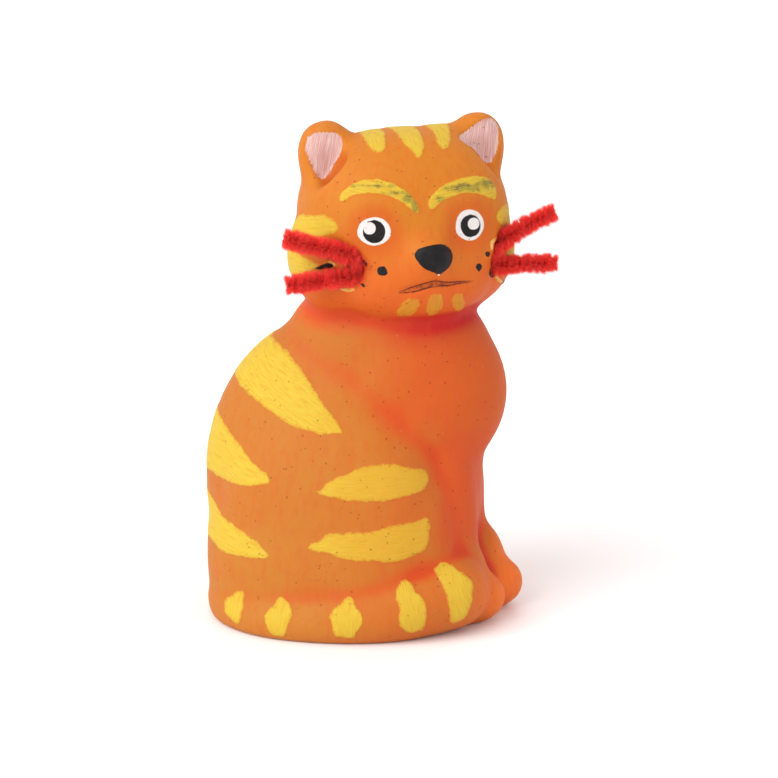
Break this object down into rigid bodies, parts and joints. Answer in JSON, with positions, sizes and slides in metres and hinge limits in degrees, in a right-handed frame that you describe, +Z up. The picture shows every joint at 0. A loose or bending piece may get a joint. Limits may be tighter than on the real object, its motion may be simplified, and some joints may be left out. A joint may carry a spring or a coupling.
{
  "type": "polystyrene cat figure",
  "caption": "Seated cat ornament of moulded polystyrene, hand-painted orange with yellow stripes, with red chenille-stem whiskers.",
  "frame": {"origin": "centre of the flat underside, on the surface that the figure stands on", "axes": "+Z up, -Y the way the cat's body faces, -X the cat's right, where its head is turned"},
  "size_m": [0.0798, 0.1158, 0.1643],
  "materials": {
    "painted_foam": "matte brushed paint on foam",
    "chenille": "short red pile"
  },
  "bodies": {
    "root": {"cat_figure": "painted_foam", "whisker_right": "chenille", "whisker_left": "chenille"}
  },
  "joints": []
}
